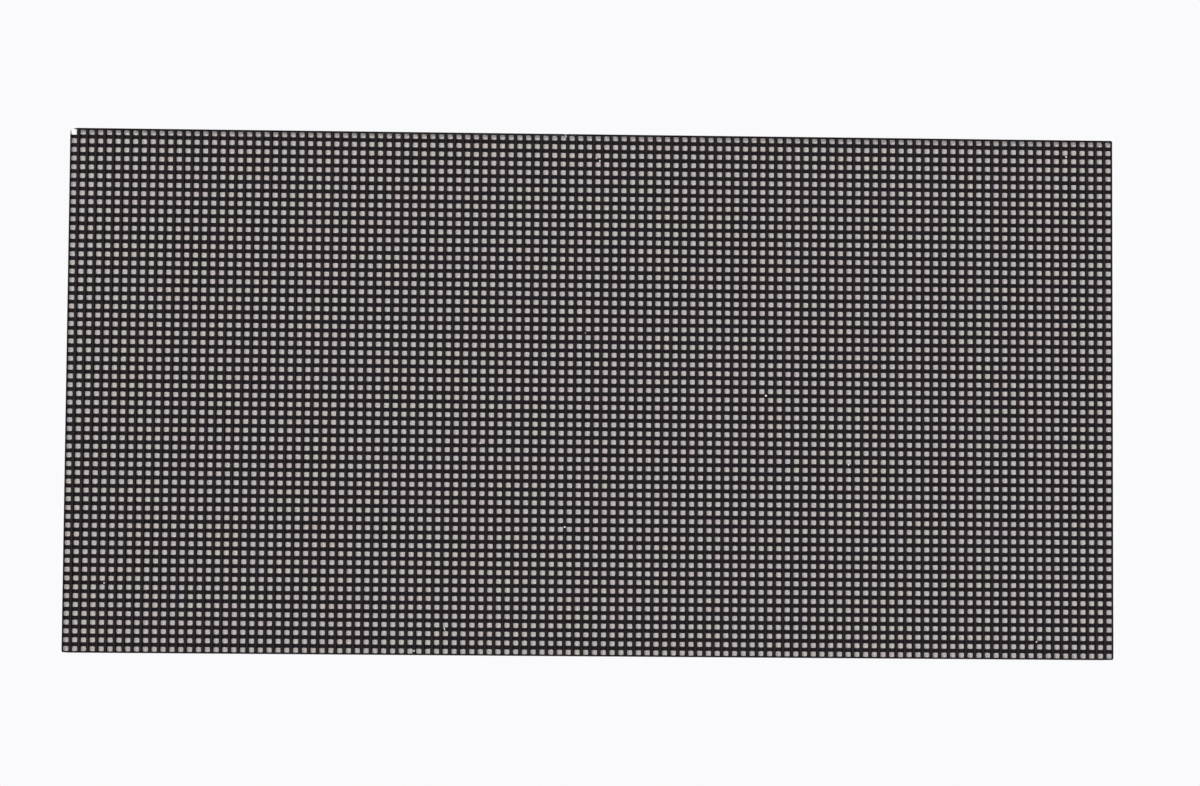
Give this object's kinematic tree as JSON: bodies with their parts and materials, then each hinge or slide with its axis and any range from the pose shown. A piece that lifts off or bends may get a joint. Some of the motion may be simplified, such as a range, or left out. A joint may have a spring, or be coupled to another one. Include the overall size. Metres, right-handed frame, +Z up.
{
  "type": "led dot matrix display module",
  "caption": "Full-colour surface-mount LED dot matrix module: black louvre mask over a lamp board, screwed to a moulded rear frame with threaded inserts.",
  "frame": {"origin": "centre of the rear mounting plane, in the middle of the four corner inserts", "axes": "+X to the right as seen from the lamps, +Y out of the back, +Z up; the lamps face -Y"},
  "size_m": [0.2398, 0.017, 0.1196],
  "materials": {
    "mask_plastic": "matt black moulded polycarbonate",
    "lamp_resin": "frosted grey resin in black lamp bodies",
    "board_laminate": "glass-epoxy board, matt black solder mask in front, green behind",
    "chip_epoxy": "moulded black epoxy with tinned leads",
    "resistor_ceramic": "black coated ceramic with tinned ends",
    "capacitor_ceramic": "tan ceramic with tinned ends",
    "can_aluminium": "drawn bare aluminium",
    "base_plastic": "moulded black plastic",
    "shroud_plastic": "moulded black glass-filled polyester",
    "pin_gold": "gold-flashed brass",
    "header_nylon": "natural nylon",
    "pin_tin": "tinned brass",
    "nut_tin": "tinned brass",
    "frame_plastic": "moulded black glass-filled polycarbonate",
    "insert_brass": "turned brass",
    "screw_steel": "zinc-plated steel"
  },
  "bodies": {
    "root": {"face_mask": "mask_plastic", "led_packages": "lamp_resin", "circuit_board": "board_laminate", "driver_chips": "chip_epoxy", "row_switch_chips": "chip_epoxy", "buffer_chips": "chip_epoxy", "chip_resistors": "resistor_ceramic", "chip_capacitors": "capacitor_ceramic", "capacitor_cans": "can_aluminium", "capacitor_bases": "base_plastic", "signal_in_shroud": "shroud_plastic", "signal_in_pins": "pin_gold", "signal_out_shroud": "shroud_plastic", "signal_out_pins": "pin_gold", "power_header_body": "header_nylon", "power_header_pins": "pin_tin", "board_nuts": "nut_tin", "rear_frame": "frame_plastic", "threaded_inserts": "insert_brass", "frame_screws": "screw_steel"}
  },
  "joints": []
}
